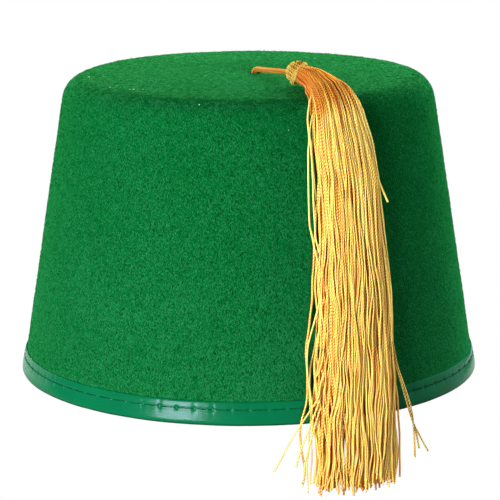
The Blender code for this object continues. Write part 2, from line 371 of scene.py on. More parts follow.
def over_hat(distance, azimuth, rise):
    """Points by their distance over the hat, azimuth from the front and height off the felt."""
    radius, height, tilt = (np.interp(distance, OUTLINE[0], column) for column in OUTLINE[1:])
    reach = radius + np.sin(tilt) * rise
    level = height + np.cos(tilt) * rise
    lean = CROWN_LEAN * level / WALL_HEIGHT
    return np.stack((reach * np.sin(azimuth) + lean, -reach * np.cos(azimuth), level), axis=-1)


def joined_mesh(name, points, faces):
    """A new object from arrays of points and faces, smooth, with its place in its mesh."""
    mesh = bpy.data.meshes.new(name)
    corners = faces.reshape(-1, faces.shape[-1])
    mesh.from_pydata(points.reshape(-1, 3).tolist(), [], corners.tolist())
    mesh.shade_smooth()
    piece = bpy.data.objects.new(name, mesh)
    bpy.context.collection.objects.link(piece)
    return piece


def paint_points(piece, attribute, values):
    """One number for each point of a piece, which its material reads."""
    layer = piece.data.attributes.new(attribute, "FLOAT", "POINT")
    layer.data.foreach_set("value", np.asarray(values, np.float32).ravel())


def fibre_slivers(name, distance, azimuth, heading, length, width, lift):
    """Fibres that lie on the felt, each a closed sliver: root, two sides and tip.

    Each starts at its distance over the hat and azimuth, and its heading is turned from
    straight down. Lift is how far its tip stands off the felt.
    """
    radius = np.interp(distance, OUTLINE[0], OUTLINE[1])
    down, across = np.cos(heading), np.sin(heading)

    def corner(forward, aside, rise):
        return over_hat(
            distance + down * forward - across * aside,
            azimuth + (across * forward + down * aside) / np.maximum(radius, 6.0 * MM),
            rise,
        )

    # The root is sunk in the felt, and the sides' two heights make the sliver thick.
    corners = np.stack(
        (
            corner(0.0, 0.0, -0.05 * MM),
            corner(length * 0.5, -width / 2.0, 0.03 * MM + lift * 0.35),
            corner(length * 0.5, width / 2.0, 0.09 * MM + lift * 0.45),
            corner(length, 0.0, lift + 0.04 * MM),
        ),
        axis=1,
    )
    # Each fibre starts on the felt as it really lies, waves and all.
    for fibre in corners:
        _, place, _, _ = crown.closest_point_on_mesh(fibre[0])
        fibre += np.array(place) - fibre[0]
    sides = np.array(((0, 1, 2), (0, 3, 1), (0, 2, 3), (1, 3, 2)))
    return joined_mesh(name, corners, sides + 4 * np.arange(len(corners))[:, None, None])


def make_nap(rng):
    """The felt's own fibres, all over it but for the hole in its top."""
    area = np.concatenate(([0.0], np.cumsum(OUTLINE[1][:-1] * np.diff(OUTLINE[0]))))
    lowest = EDGE_DISTANCE - NAP_CLEAR_OF_EDGE
    share = rng.uniform(0.0, np.interp(lowest, OUTLINE[0], area), NAP_FIBRES)
    distance = np.interp(share, area, OUTLINE[0])
    azimuth = rng.uniform(0.0, TURN, NAP_FIBRES)
    upright = np.sin(np.interp(distance, OUTLINE[0], OUTLINE[3]))
    heading = rng.normal(0.0, NAP_SPREAD, NAP_FIBRES)
    heading += (1.0 - upright) * rng.uniform(0.0, TURN, NAP_FIBRES)
    length = rng.uniform(*NAP_LENGTHS, NAP_FIBRES)
    width = rng.uniform(*NAP_WIDTHS, NAP_FIBRES)
    lift = np.minimum(rng.exponential(NAP_LIFT, NAP_FIBRES), NAP_HIGHEST)
    roots = over_hat(distance, azimuth, 0.0)[:, :2]
    kept = np.linalg.norm(roots - np.array(HOLE_CENTRE), axis=1) > NAP_CLEAR_OF_HOLE
    columns = (distance, azimuth, heading, length, width, lift)
    return fibre_slivers("felt_nap", *(column[kept] for column in columns))


nap_rng = np.random.default_rng(NAP_SEED)
nap = make_nap(nap_rng)
nap_tones = nap_rng.uniform(*NAP_TONES, len(nap.data.vertices) // 4)
paint_points(nap, "fibre_tone", np.repeat(nap_tones, 4))
nap.data.materials.append(felt_material("green_fibre", 0.0))
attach(nap, "root")


# ---- Lint ----
# Pale bits of fibre from elsewhere that cling to the nap, most of them in a row on the
# shoulder at the left front.

# Distance over the hat in mm, azimuth and heading in degrees, length and width in mm.
LINT = (
    (66.7, -56.3, 80.0, 1.2, 0.62),
    (63.1, -56.3, 60.0, 1.3, 0.56),
    (63.7, -53.3, 95.0, 1.2, 0.56),
    (64.1, -47.5, 70.0, 1.4, 0.62),
    (63.9, -46.0, 120.0, 1.1, 0.50),
    (61.9, -44.6, 85.0, 1.2, 0.56),
    (61.5, -42.6, 40.0, 1.5, 0.66),
    (65.9, -82.0, 75.0, 0.9, 0.36),
    (60.3, -79.4, 90.0, 0.9, 0.32),
    (23.9, -48.7, 90.0, 1.4, 0.50),
    (72.7, -15.5, 65.0, 0.8, 0.42),
    (152.4, 4.9, 30.0, 0.6, 0.26),
    (83.3, 11.3, 20.0, 0.6, 0.26),
    (45.1, 140.1, 90.0, 0.9, 0.36),
)
LINT_LIFT = 0.40 * MM
LINT_COLOURS = ((0.35, (0.62, 0.85, 0.66)), (0.65, (1.0, 0.95, 0.80)))

along, azimuth, heading, length, width = np.array(LINT).T
lint = fibre_slivers(
    "felt_lint", along * MM, np.radians(azimuth), np.radians(heading), length * MM, width * MM,
    np.full(len(LINT), LINT_LIFT),
)
lint_material, lint_tree, lint_shader = new_material(
    "pale_lint", {"Roughness": 0.9, "Specular IOR Level": 0.1}
)
lint_mottle = noise(lint_tree, node(lint_tree, "TexCoord").outputs["Object"], 150.0)
lint_tree.links.new(
    colour_ramp(lint_tree, lint_mottle, LINT_COLOURS), lint_shader.inputs["Base Color"]
)
lint.data.materials.append(lint_material)
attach(lint, "root")


# ---- Rim binding ----
# A strip of thin glossy vinyl, folded under the felt's edge and sewn through both of its
# legs. Each stitch draws it in, so it puckers at the holes and bulges below the seam.
STITCHES = 83
STITCH_ANGLE = TURN / STITCHES
COLUMNS_PER_STITCH = 12
BINDING_THICKNESS = 0.5 * MM
SEAM_HEIGHT = 6.45 * MM
FOLD_HEIGHT = 0.9 * MM
FOLD_STEPS = 7
MERGE_DISTANCE = 0.02 * MM
# The legs' heights and how far their faces stand off the felt, both in mm.
OUTER_LEG = (
    (9.50, 0.26), (9.28, 0.46), (8.70, 0.62), (7.90, 0.72), (7.20, 0.69), (6.80, 0.62),
    (6.45, 0.56), (6.10, 0.62), (5.60, 0.75), (4.80, 0.87), (3.60, 0.96), (2.20, 0.92),
)
INNER_LEG = ((2.2, 0.8), (4.6, 0.8), (6.45, 0.45), (8.5, 0.6))


def felt_radius(height):
    """The felt's outer radius on the cone."""
    return RIM_RADIUS - WALL_SLOPE * height


def binding_section():
    """Points down the outer leg, round the fold and up the inner leg."""
    section = [(felt_radius(z * MM) + off * MM, z * MM) for z, off in OUTER_LEG]
    middle = felt_radius(FOLD_HEIGHT) - FELT_THICKNESS / 2.0
    half = FELT_THICKNESS / 2.0 + 0.8 * MM
    for angle in np.linspace(0.0, math.pi, FOLD_STEPS):
        section.append((middle + half * math.cos(angle), FOLD_HEIGHT * (1.0 - math.sin(angle))))
    for z, off in INNER_LEG:
        section.append((felt_radius(z * MM) - FELT_THICKNESS - off * MM, z * MM))
    return section


def select_vertices(piece, wanted):
    """In edit mode, select only the vertices whose place passes the test."""
    bpy.ops.mesh.select_all(action="DESELECT")
    bpy.ops.object.mode_set(mode="OBJECT")
    for vert in piece.data.vertices:
        vert.select = wanted(vert.co)
    bpy.ops.object.mode_set(mode="EDIT")


# One stitch's length of the strip, at the front of the rim.
tape = start_with(bpy.ops.mesh.primitive_plane_add, size=1.0)
bpy.ops.mesh.merge(type="CENTER")
place = Vector((0.0, 0.0, 0.0))
for radius, height in binding_section():
    stop = Matrix.Rotation(STITCH_ANGLE / 2.0, 3, "Z") @ Vector((0.0, -radius, height))
    if place.length:
        bpy.ops.mesh.extrude_region_move(TRANSFORM_OT_translate={"value": stop - place})
    else:
        bpy.ops.transform.translate(value=stop)
    place = stop
bpy.ops.mesh.select_all(action="SELECT")
bpy.ops.mesh.spin(
    steps=COLUMNS_PER_STITCH, angle=STITCH_ANGLE, center=(0.0, 0.0, 0.0), axis=(0.0, 0.0, 1.0)
)
outside = felt_radius(SEAM_HEIGHT)
# The crease above and below the needle hole, the dent round it, and the hole itself.
for half_width, low, high, push, reach in (
    (0.4, 4.5, 9.6, 0.06, 1.2), (0.4, 5.9, 7.0, 0.16, 1.1), (0.2, 6.3, 6.6, 0.36, 0.62)
):
    select_vertices(
        tape,
        lambda co: abs(co.x) < half_width * MM and low * MM < co.z < high * MM
        and -co.y > outside - FELT_THICKNESS / 2.0,
    )
    bpy.ops.transform.translate(
        value=(0.0, push * MM, 0.0), use_proportional_edit=True,
        proportional_edit_falloff="SMOOTH", proportional_size=reach * MM,
    )
bpy.ops.object.mode_set(mode="OBJECT")
tape.name = tape.data.name = "binding_tape"
# The same length repeated round the rim, then one wall with its own small waves.
bpy.ops.object.empty_add(rotation=(0.0, 0.0, STITCH_ANGLE))
turned = bpy.context.object
apply_modifier(
    tape, "ARRAY", count=STITCHES, use_relative_offset=False, use_object_offset=True,
    offset_object=turned, use_merge_vertices=True, use_merge_vertices_cap=True,
    merge_threshold=MERGE_DISTANCE,
)
bpy.data.objects.remove(turned)
bpy.ops.object.select_all(action="DESELECT")
tape.select_set(True)
bpy.ops.object.mode_set(mode="EDIT")
bpy.ops.mesh.select_all(action="SELECT")
bpy.ops.mesh.remove_doubles(threshold=MERGE_DISTANCE)
bpy.ops.mesh.normals_make_consistent(inside=False)
bpy.ops.object.mode_set(mode="OBJECT")
apply_modifier(tape, "SOLIDIFY", thickness=BINDING_THICKNESS, offset=-1.0)
apply_modifier(tape, "DISPLACE", texture=lumps("tape_waves", 0.012), strength=0.16 * MM)
apply_modifier(tape, "DISPLACE", texture=lumps("tape_puckers", 0.0025), strength=0.05 * MM)
bpy.ops.object.shade_smooth()


def mixed(tree, factor, first, second):
    """The first colour at a factor of 0, and the second at 1."""
    return node(
        tree, "Mix", {"Factor": factor, 6: first, 7: second}, data_type="RGBA"
    ).outputs[2]


VINYL_DARK = (0.0009, 0.092, 0.033, 1.0)
VINYL_LIGHT = (0.0020, 0.130, 0.049, 1.0)
# The painted shade along the fold's lower edge, and the height band over which it fades.
VINYL_PAINTED_SHADE = (0.0008, 0.014, 0.007, 1.0)
UNDERSIDE_SHADE_BAND = (0.3 * MM, 1.3 * MM)
CLOUD_SCALE = 60.0
LINE_SCALE = 170.0
LINE_STRETCH = (1.0, 1.0, 14.0)
VINYL_ROUGHNESS = (0.15, 0.25)
vinyl, vinyl_tree, vinyl_shader = new_material(
    "green_vinyl", {"Specular IOR Level": 0.18, "Specular Tint": (0.6, 0.75, 0.97, 1.0)}
)
vinyl_place = node(vinyl_tree, "TexCoord").outputs["Object"]
cloudy = noise(vinyl_tree, vinyl_place, CLOUD_SCALE, detail=3.0)
vinyl_colour = mixed(vinyl_tree, cloudy, VINYL_DARK, VINYL_LIGHT)
# Painted shade: the fold's lower edge is darkened, where the underside of the fold turns away from
# the light.
vinyl_height = node(vinyl_tree, "SeparateXYZ", {"Vector": vinyl_place}).outputs["Z"]
unshaded = mapped(vinyl_tree, vinyl_height, *UNDERSIDE_SHADE_BAND, 0.1, 1.0)
vinyl_tree.links.new(
    mixed(vinyl_tree, unshaded, VINYL_PAINTED_SHADE, vinyl_colour), vinyl_shader.inputs["Base Color"]
)
# The calendered surface has fine lines along the strip, which streak its reflections.
along_strip = stretch(vinyl_tree, vinyl_place, LINE_STRETCH)
lines = noise(vinyl_tree, along_strip, LINE_SCALE, detail=3.0)
vinyl_tree.links.new(
    mapped(vinyl_tree, lines, 0.3, 0.7, *VINYL_ROUGHNESS), vinyl_shader.inputs["Roughness"]
)
raise_surface(vinyl_tree, vinyl_shader, lines, 0.25, 0.12 * MM)
tape.data.materials.append(vinyl)
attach(tape, "root")
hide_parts("rim_binding")


# ---- Binding stitches ----
# One seam of green two-ply sewing thread, right round the binding. Each stitch lies in
# the groove that it pulls, and dives into a needle hole at both ends.
STITCH_THREAD_RADIUS = 0.23 * MM
STITCH_PLY_PITCH = 1.1 * MM
STITCH_STOPS = 15
STITCH_RISE = 0.10 * MM
STITCH_DIVE = 0.30 * MM
THREAD_SIDES = 6
PLY_WAIST = 0.46
ROUND_SHARE = 0.9
PHASE_STEP = 0.618


def lay_out(piece, name, corners):
    """A UV map from the two coordinates of each face corner."""
    layer = piece.data.uv_layers.new(name=name)
    layer.uv.foreach_set("vector", np.asarray(corners, np.float32).ravel())


def tube_faces(stops, closed):
    """Ring and side numbers of each face corner of one tube, without wrapping round."""
    spans = stops if closed else stops - 1
    span, side = np.meshgrid(np.arange(spans), np.arange(THREAD_SIDES), indexing="ij")
    ring = np.stack((span, span, span + 1, span + 1), axis=-1).reshape(-1, 4)
    corner = np.stack((side, side + 1, side + 1, side), axis=-1).reshape(-1, 4)
    if closed:
        return ring, corner
    caps = np.array([(0, k, k + 1, k + 2) for k in range(1, THREAD_SIDES - 1, 2)])
    ring = np.concatenate((ring, np.zeros_like(caps), np.full_like(caps, stops - 1)))
    corner = np.concatenate((corner, caps[:, ::-1], caps))
    return ring, corner


def route_frames(routes, facing, closed=False):
    """Two directions across each stop of each route, the first of them nearest to facing."""
    if closed:
        ahead = np.roll(routes, -1, axis=1) - np.roll(routes, 1, axis=1)
    else:
        ahead = np.gradient(routes, axis=1)
    ahead /= np.linalg.norm(ahead, axis=2, keepdims=True)
    out = facing - (facing * ahead).sum(axis=2, keepdims=True) * ahead
    out /= np.linalg.norm(out, axis=2, keepdims=True)
    return out, np.cross(ahead, out)


def thread_mesh(name, routes, radius, pitch, facing, tones, closed=False, twisted=True):
    """Two-ply threads along their routes, an array of (threads, stops, 3), as one mesh.

    Twisted ones have a waisted section that turns once in each pitch. The others are
    round, and show their plies only by the map named thread: its first coordinate counts
    turns about the plies, and its second is millimetres along the thread. The map named
    outward counts turns from the facing side, for the painted light on the side that
    faces out, and its second coordinate is the same.
    """
    threads, stops = routes.shape[:2]
    out, aside = route_frames(routes, facing, closed)
    steps = np.linalg.norm(np.diff(routes, axis=1, append=routes[:, :1]), axis=2)
    along = np.concatenate((np.zeros((threads, 1)), np.cumsum(steps, axis=1)), axis=1)
    if closed:
        pitch = along[:, -1:] / np.maximum(1.0, np.round(along[:, -1:] / pitch))
    turns = along / pitch + PHASE_STEP * np.arange(threads)[:, None] ** 2
    corner = np.arange(THREAD_SIDES) / THREAD_SIDES
    if twisted:
        angle = TURN * (corner + turns[:, :stops, None])
        section = PLY_WAIST + (1.0 - PLY_WAIST) * np.abs(np.cos(TURN * corner))
    else:
        angle = TURN * corner + np.zeros((threads, stops, 1))
        section = ROUND_SHARE
    reach = np.broadcast_to(radius, (threads, stops))[:, :, None] * section
    rings = (
        routes[:, :, None]
        + (reach * np.cos(angle))[..., None] * out[:, :, None]
        + (reach * np.sin(angle))[..., None] * aside[:, :, None]
    )
    ring, side = tube_faces(stops, closed)
    faces = (ring % stops) * THREAD_SIDES + side % THREAD_SIDES
    number = np.arange(threads)[:, None, None]
    piece = joined_mesh(name, rings, faces + stops * THREAD_SIDES * number)
    paint_points(piece, "thread_tone", np.repeat(tones, stops * THREAD_SIDES))

    strip = (number + 0.05 + 0.9 * side / THREAD_SIDES) / threads
    shares = np.broadcast_arrays(strip, (ring + 0.5) / (stops + 1))
    lay_out(piece, "OFBake", np.stack(shares, axis=-1))
    for layer, twists in (("thread", 0.0 if twisted else -1.0), ("outward", float(twisted))):
        turned = side / THREAD_SIDES + twists * turns[:, ring]
        lay_out(piece, layer, np.stack((turned, along[:, ring] / MM), axis=-1))
    return piece


FIBRE_DEPTH = 0.8
FIBRE_STRETCH = (7.0, 0.9, 1.0)
DRIFT_PER_MM = 0.07
DRIFT_PER_TONE = 60.0
MIDDLE_TONE = 0.7
# In mm along a thread: how much sooner the painted highlight of the hanging part comes in for each
# whole tone, and over what length it fades in.
HIGHLIGHT_SOONER_PER_TONE = 20.0
HIGHLIGHT_BLEND_LENGTH = 7.0


def two_ply_group():
    """Two twisted plies: painted shade in the valleys between them, fine fibres along them, slow
    drifts, and a painted highlight on the crests that face out.

    Hanging Highlight is how far the painted highlight of the hanging part has come in along a
    thread: 0 at its head, which is painted in shade, then 1.
    """
    group, ins, outs = new_group(
        "two_ply",
        {
            "Place": ("Vector", None),
            "Tone": ("Float", 0.0),
            "Turned": ("Vector", None),
            "Groove Shade Depth": ("Float", 0.5),
            "Drift": ("Float", 0.5),
            "Painted Light Depth": ("Float", 0.0),
            "Highlight From": ("Float", 33.5),
        },
        {"Shade": "Float", "Height": "Float", "Hanging Highlight": "Float"},
    )
    tone = ins.outputs["Tone"]
    parts = node(group, "SeparateXYZ", {"Vector": ins.outputs["Place"]})
    # The plies' crest: 1 on a crest and 0 in the groove between plies, where painted shade darkens
    # the thread.
    wave = maths(group, "COSINE", maths(group, "MULTIPLY", parts.outputs["X"], TURN))
    crest = maths(group, "ABSOLUTE", wave)
    fibres = noise(group, stretch(group, ins.outputs["Place"], FIBRE_STRETCH), 1.0)
    thread = maths(group, "MULTIPLY", tone, DRIFT_PER_TONE)
    slow = maths(group, "MULTIPLY", parts.outputs["Y"], DRIFT_PER_MM)
    drift_place = node(group, "CombineXYZ", {"X": thread, "Y": slow}).outputs[0]
    drift = noise(group, drift_place, 1.0)
    # Painted highlight: each crest is brightest where the twist brings it to the outside, where
    # the light would catch it.
    turns = node(group, "SeparateXYZ", {"Vector": ins.outputs["Turned"]}).outputs["X"]
    facing = maths(group, "COSINE", maths(group, "MULTIPLY", turns, TURN))
    painted_glint = maths(group, "MULTIPLY", crest, maths(group, "MULTIPLY_ADD", facing, 0.5, 0.5))
    # Shade is the tone plus what the plies' painted groove shade, the fibres, the drift and the
    # painted highlight add, about nought.
    shade = tone
    for source, weight in (
        (crest, ins.outputs["Groove Shade Depth"]),
        (fibres, FIBRE_DEPTH),
        (drift, ins.outputs["Drift"]),
        (painted_glint, ins.outputs["Painted Light Depth"]),
    ):
        centred = maths(group, "SUBTRACT", source, 0.5)
        shade = maths(group, "MULTIPLY_ADD", centred, weight, shade)
    # Painted highlight: it comes in nearer the head on paler threads than on deeper ones.
    ahead = maths(group, "SUBTRACT", tone, MIDDLE_TONE)
    reached = maths(group, "MULTIPLY_ADD", ahead, HIGHLIGHT_SOONER_PER_TONE, parts.outputs["Y"])
    past = maths(group, "SUBTRACT", reached, ins.outputs["Highlight From"])
    group.links.new(mapped(group, past, 0.0, HIGHLIGHT_BLEND_LENGTH), outs.inputs["Hanging Highlight"])
    group.links.new(shade, outs.inputs["Shade"])
    height = maths(group, "MULTIPLY_ADD", fibres, 0.3, crest)
    group.links.new(height, outs.inputs["Height"])
    return group


TWO_PLY = two_ply_group()


def thread_material(name, stops, constants, shaded_head_stops=None, groove_shade=0.5, outward=0.0, bump=0.5):
    """Two-ply thread, whose shade runs through the colours at the stops, or through the head's
    darker copy of them, painted where no highlight falls.

    Painted light is how much paler the side that faces out of the bunch is painted than the inner
    side, which is painted in shade.
    """
    material, tree, shader = new_material(name, constants)
    plies = node(
        tree, "Group",
        {
            "Place": node(tree, "UVMap", uv_map="thread").outputs["UV"],
            "Tone": node(tree, "Attribute", attribute_name="thread_tone").outputs["Fac"],
            "Turned": node(tree, "UVMap", uv_map="outward").outputs["UV"],
            "Groove Shade Depth": groove_shade,
            "Painted Light Depth": outward,
        },
        node_tree=TWO_PLY,
    )
    colour = colour_ramp(tree, plies.outputs["Shade"], stops)
    if shaded_head_stops:
        painted_head_shade = colour_ramp(tree, plies.outputs["Shade"], shaded_head_stops)
        colour = mixed(tree, plies.outputs["Hanging Highlight"], painted_head_shade, colour)
    tree.links.new(colour, shader.inputs["Base Color"])
    raise_surface(tree, shader, plies.outputs["Height"], bump, 0.12 * MM)
    return material


def seam_routes():
    """Each stitch from one needle hole to the next, over the tape as it lies."""
    share = np.linspace(0.0, 1.0, STITCH_STOPS)
    azimuth = STITCH_ANGLE * (np.arange(STITCHES)[:, None] + share)
    rise = STITCH_RISE - STITCH_DIVE * np.abs(2.0 * share - 1.0) ** 6
    routes = np.empty((STITCHES, STITCH_STOPS, 3))
    for stitch in range(STITCHES):
        for stop in range(STITCH_STOPS):
            turn = azimuth[stitch, stop]
            outwards = Vector((math.sin(turn), -math.cos(turn), 0.0))
            start = outwards * (RIM_RADIUS + 4.0 * MM) + Vector((0.0, 0.0, SEAM_HEIGHT))
            _, place, _, _ = tape.ray_cast(start, -outwards)
            routes[stitch, stop] = place + outwards * rise[stop]
    return routes


bpy.context.view_layer.update()
stitch_routes = seam_routes()
stitches = thread_mesh(
    "binding_stitches", stitch_routes, STITCH_THREAD_RADIUS, STITCH_PLY_PITCH,
    stitch_routes * (1.0, 1.0, 0.0), np.random.default_rng(5).uniform(0.4, 0.6, STITCHES),
)
stitches.data.materials.append(
    thread_material(
        "green_thread",
        ((0.0, (0.0008, 0.014, 0.007)), (0.6, (0.0015, 0.050, 0.022)), (1.0, (0.004, 0.13, 0.06))),
        {"Roughness": 0.6, "Specular IOR Level": 0.05},
    )
)
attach(stitches, "root")


# ---- Tassel cord ----
# Seven parallel strands of satin thread, laid together. They come up through the hole in
# the top and are pulled taut over the felt to the tassel's ball.
CORD_ROUTE = (
    (0.00266, 0.00132, 0.12258), (0.00282, 0.00094, 0.12335), (0.00300, 0.00050, 0.12397),
    (0.00331, -0.00024, 0.12466), (0.00369, -0.00116, 0.12520), (0.00411, -0.00218, 0.12546),
    (0.00543, -0.00535, 0.12579), (0.00675, -0.00852, 0.12610), (0.00807, -0.01170, 0.12644),
    (0.00939, -0.01487, 0.12678), (0.01071, -0.01804, 0.12712), (0.01202, -0.02122, 0.12746),
    (0.01334, -0.02439, 0.12780), (0.01466, -0.02756, 0.12814), (0.01598, -0.03074, 0.12848),
    (0.01730, -0.03391, 0.12882), (0.01862, -0.03708, 0.12916),
)
CORD_STOPS = 130
CORD_SIDEWAYS = np.array((0.923, 0.385, 0.0))
STRAND_RADIUS = 0.40 * MM
STRAND_SPREAD = 0.74 * MM
STRAND_TURNS = (0.2, 0.75)
STRAND_TONES = (0.5, 0.62, 0.44, 0.56, 0.40, 0.50, 0.60)
THREAD_PITCH = 2.5 * MM


def smooth_route(points, stops):
    """Evenly spaced stops along a smooth curve through the points."""
    route = np.array(points)
    route = np.vstack((2.0 * route[0] - route[1], route, 2.0 * route[-1] - route[-2]))
    p0, p1, p2, p3 = (route[k : len(route) - 3 + k, None] for k in range(4))
    t = np.linspace(0.0, 1.0, 12, endpoint=False)[:, None]
    bend = (2.0 * p0 - 5.0 * p1 + 4.0 * p2 - p3) * t**2 + (3.0 * (p1 - p2) + p3 - p0) * t**3
    fine = np.vstack(((p1 + 0.5 * ((p2 - p0) * t + bend)).reshape(-1, 3), route[-2]))
    length = np.concatenate(([0.0], np.cumsum(np.linalg.norm(np.diff(fine, axis=0), axis=1))))
    even = np.linspace(0.0, length[-1], stops)
    return np.stack([np.interp(even, length, column) for column in fine.T], axis=-1)


cord_centre = smooth_route(CORD_ROUTE, CORD_STOPS)
cord_out, cord_aside = route_frames(cord_centre[None], CORD_SIDEWAYS)
strand_turn = (TURN * np.arange(6) / 6.0)[:, None, None]
strand_turn = strand_turn + np.linspace(*STRAND_TURNS, CORD_STOPS)[None, :, None]
strands = cord_centre + STRAND_SPREAD * (
    np.cos(strand_turn) * cord_out + np.sin(strand_turn) * cord_aside
)
cord = thread_mesh(
    "satin_cord", np.concatenate((cord_centre[None], strands)), STRAND_RADIUS, THREAD_PITCH,
    CORD_SIDEWAYS, STRAND_TONES,
)
CORD_COLOURS = (
    (0.0, (0.19, 0.045, 0.005)), (0.5, (0.40, 0.150, 0.018)), (1.0, (0.64, 0.37, 0.08)),
)
SATIN = {
    "Roughness": 0.45, "Specular IOR Level": 0.4, "Specular Tint": (1.0, 0.85, 0.45, 1.0),
    "Subsurface Weight": 0.25, "Subsurface Radius": (1.0, 0.4, 0.1),
    "Subsurface Scale": 1.0 * MM,
}
cord_thread = thread_material("orange_cord_thread", CORD_COLOURS, SATIN)
cord.data.materials.append(cord_thread)
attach(cord, "root")
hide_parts("tassel_cord")


# ---- Cord anchor ----
# The same strands, wound and tied into a small knot under the felt, so that the cord
# can't pull out of its hole.
ANCHOR_CENTRE = np.array((2.66, 1.32, 119.15)) * MM
ANCHOR_SIZE = np.array((3.5, 3.5, 2.4)) * MM
# The direction that each layer's turns go about, and their places along it.
ANCHOR_LAYERS = (
    ((0.1, 0.2, 1.0), np.linspace(-0.8, 0.8, 6)),
    ((1.0, 0.3, 0.2), np.linspace(-0.75, 0.75, 7)),
)
LOOP_STOPS = 84
LOOP_TILT = 0.035
LOOP_SIZES = (0.96, 1.0)


def wound_loops(rng, centre, size, radius, normal, offsets):
    """Closed turns of thread round a ball or a squashed one, about a direction.

    Offsets are the turns' places along that direction, as shares of the ball's radius.
    """
    count = len(offsets)
    normal = np.array(normal) + rng.normal(0.0, LOOP_TILT, (count, 1, 3))
    normal /= np.linalg.norm(normal, axis=2, keepdims=True)
    start = np.cross(normal, (0.3, 0.9, 0.2))
    start /= np.linalg.norm(start, axis=2, keepdims=True)
    across = np.cross(normal, start)
    angle = np.linspace(0.0, TURN, LOOP_STOPS, endpoint=False)[None, :, None]
    offset = np.asarray(offsets)[:, None, None]
    wobble = rng.uniform(*LOOP_SIZES, (count, 1, 1))
    ring = np.sqrt(1.0 - offset**2) * (np.cos(angle) * start + np.sin(angle) * across)
    return centre + (offset * normal + ring) * wobble * (np.asarray(size) - radius)


anchor_rng = np.random.default_rng(21)
anchor_routes = np.concatenate(
    [
        wound_loops(anchor_rng, ANCHOR_CENTRE, ANCHOR_SIZE, STRAND_RADIUS, normal, offsets)
        for normal, offsets in ANCHOR_LAYERS
    ]
)
anchor = thread_mesh(
    "cord_stopper", anchor_routes, STRAND_RADIUS, THREAD_PITCH, anchor_routes - ANCHOR_CENTRE,
    anchor_rng.uniform(0.35, 0.65, len(anchor_routes)), closed=True,
)
anchor.data.materials.append(cord_thread)
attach(anchor, "root")
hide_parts("cord_anchor")


# ---- Tassel ball ----
# Satin thread wound into a ball about the cord's end and the heads of the loose threads,
# slantwise as one sees it, with three turns across the rest that carry a painted highlight band.
BALL_CENTRE = np.array((20.25, -41.97, 129.68)) * MM
THREAD_RADIUS = 0.40 * MM
TURNS_A_LAYER = 11
# Each layer's radius in mm, the direction that it goes about, and its turns' places along it.
BALL_LAYERS = (
    (4.3, (0.3, 1.0, -0.1), np.linspace(-0.85, 0.85, TURNS_A_LAYER)),
    (5.0, (0.62, 0.1, 0.78), np.linspace(-0.88, 0.88, TURNS_A_LAYER)),
    (5.2, (0.81, -0.25, -0.53), (-0.04, 0.08, 0.20)),
)

ball_rng = np.random.default_rng(31)
ball_routes = np.concatenate(
    [
        wound_loops(ball_rng, BALL_CENTRE, size * MM, THREAD_RADIUS, normal, offsets)
        for size, normal, offsets in BALL_LAYERS
    ]
)
# Painted shade: the inner layer is dark where it shows between the outer turns. Painted highlight:
# the three crossing turns are pale. The outer layer runs from paler turns to darker ones.
ball_painted_tones = np.concatenate(
    (
        ball_rng.uniform(0.0, 0.3, TURNS_A_LAYER),
        np.linspace(0.85, 0.35, TURNS_A_LAYER) + ball_rng.uniform(-0.25, 0.25, TURNS_A_LAYER),
        (1.1, 1.25, 1.15),
    )
)
ball = thread_mesh(
    "wound_ball", ball_routes, THREAD_RADIUS, THREAD_PITCH, ball_routes - BALL_CENTRE,
    ball_painted_tones, closed=True,
)
BALL_COLOURS = (
    (0.0, (0.08, 0.008, 0.001)), (0.5, (0.38, 0.105, 0.006)), (1.0, (0.62, 0.44, 0.09)),
)
ball.data.materials.append(thread_material("ball_thread", BALL_COLOURS, SATIN, groove_shade=0.9))
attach(ball, "root")
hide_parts("tassel_knot")


# ---- Outer tassel threads ----
# Loose lengths of the same two-ply thread, tied in the ball at their heads and cut off
# below the rim. They spread over the shoulder, and gather into locks as they hang.

# Distance over the hat in mm, azimuth in degrees, then width, thickness and lift in mm.
TASSEL_ROWS = (
    (46.8, 25.5, 4.0, 3.8, 3.4),
    (50.8, 25.4, 6.6, 6.6, 2.6),
    (55.0, 27.4, 11.8, 7.1, 1.8),
    (60.0, 27.9, 13.4, 6.7, 1.2),
    (66.0, 27.0, 16.2, 6.0, 0.8),
    (73.0, 26.2, 19.2, 5.8, 0.6),
    (80.0, 26.3, 22.2, 6.0, 0.6),
    (90.0, 27.3, 25.4, 6.4, 0.6),
    (104.0, 28.1, 26.6, 6.8, 0.6),
    (120.0, 28.0, 28.0, 7.0, 0.6),
    (135.0, 28.0, 29.8, 7.2, 0.6),
    (150.0, 27.8, 31.8, 7.4, 0.6),
    (170.0, 26.9, 32.2, 7.6, 0.6),
    (184.0, 26.1, 33.4, 7.9, 1.2),
    (198.0, 25.5, 34.0, 8.0, 1.3),
    (212.0, 25.7, 35.4, 8.0, 1.3),
    (224.5, 25.3, 35.4, 7.6, 1.3),
)
TASSEL_ROUNDNESS = 2.4
TASSEL_SMOOTHING = 7
THREAD_START = 47.5 * MM
NECK_END = 62.0 * MM
HANG_END = 200.0 * MM
# Sways in mm: how far, and the shortest and longest that one may be along the thread.
LOCK_SWAYS = ((0.8, 70.0, 130.0), (0.45, 25.0, 45.0))
THREAD_SWAYS = ((0.7, 35.0, 70.0), (0.14, 9.0, 16.0))
SLANT = 1.0 * MM
LONGEST_SLANT = 7.0 * MM
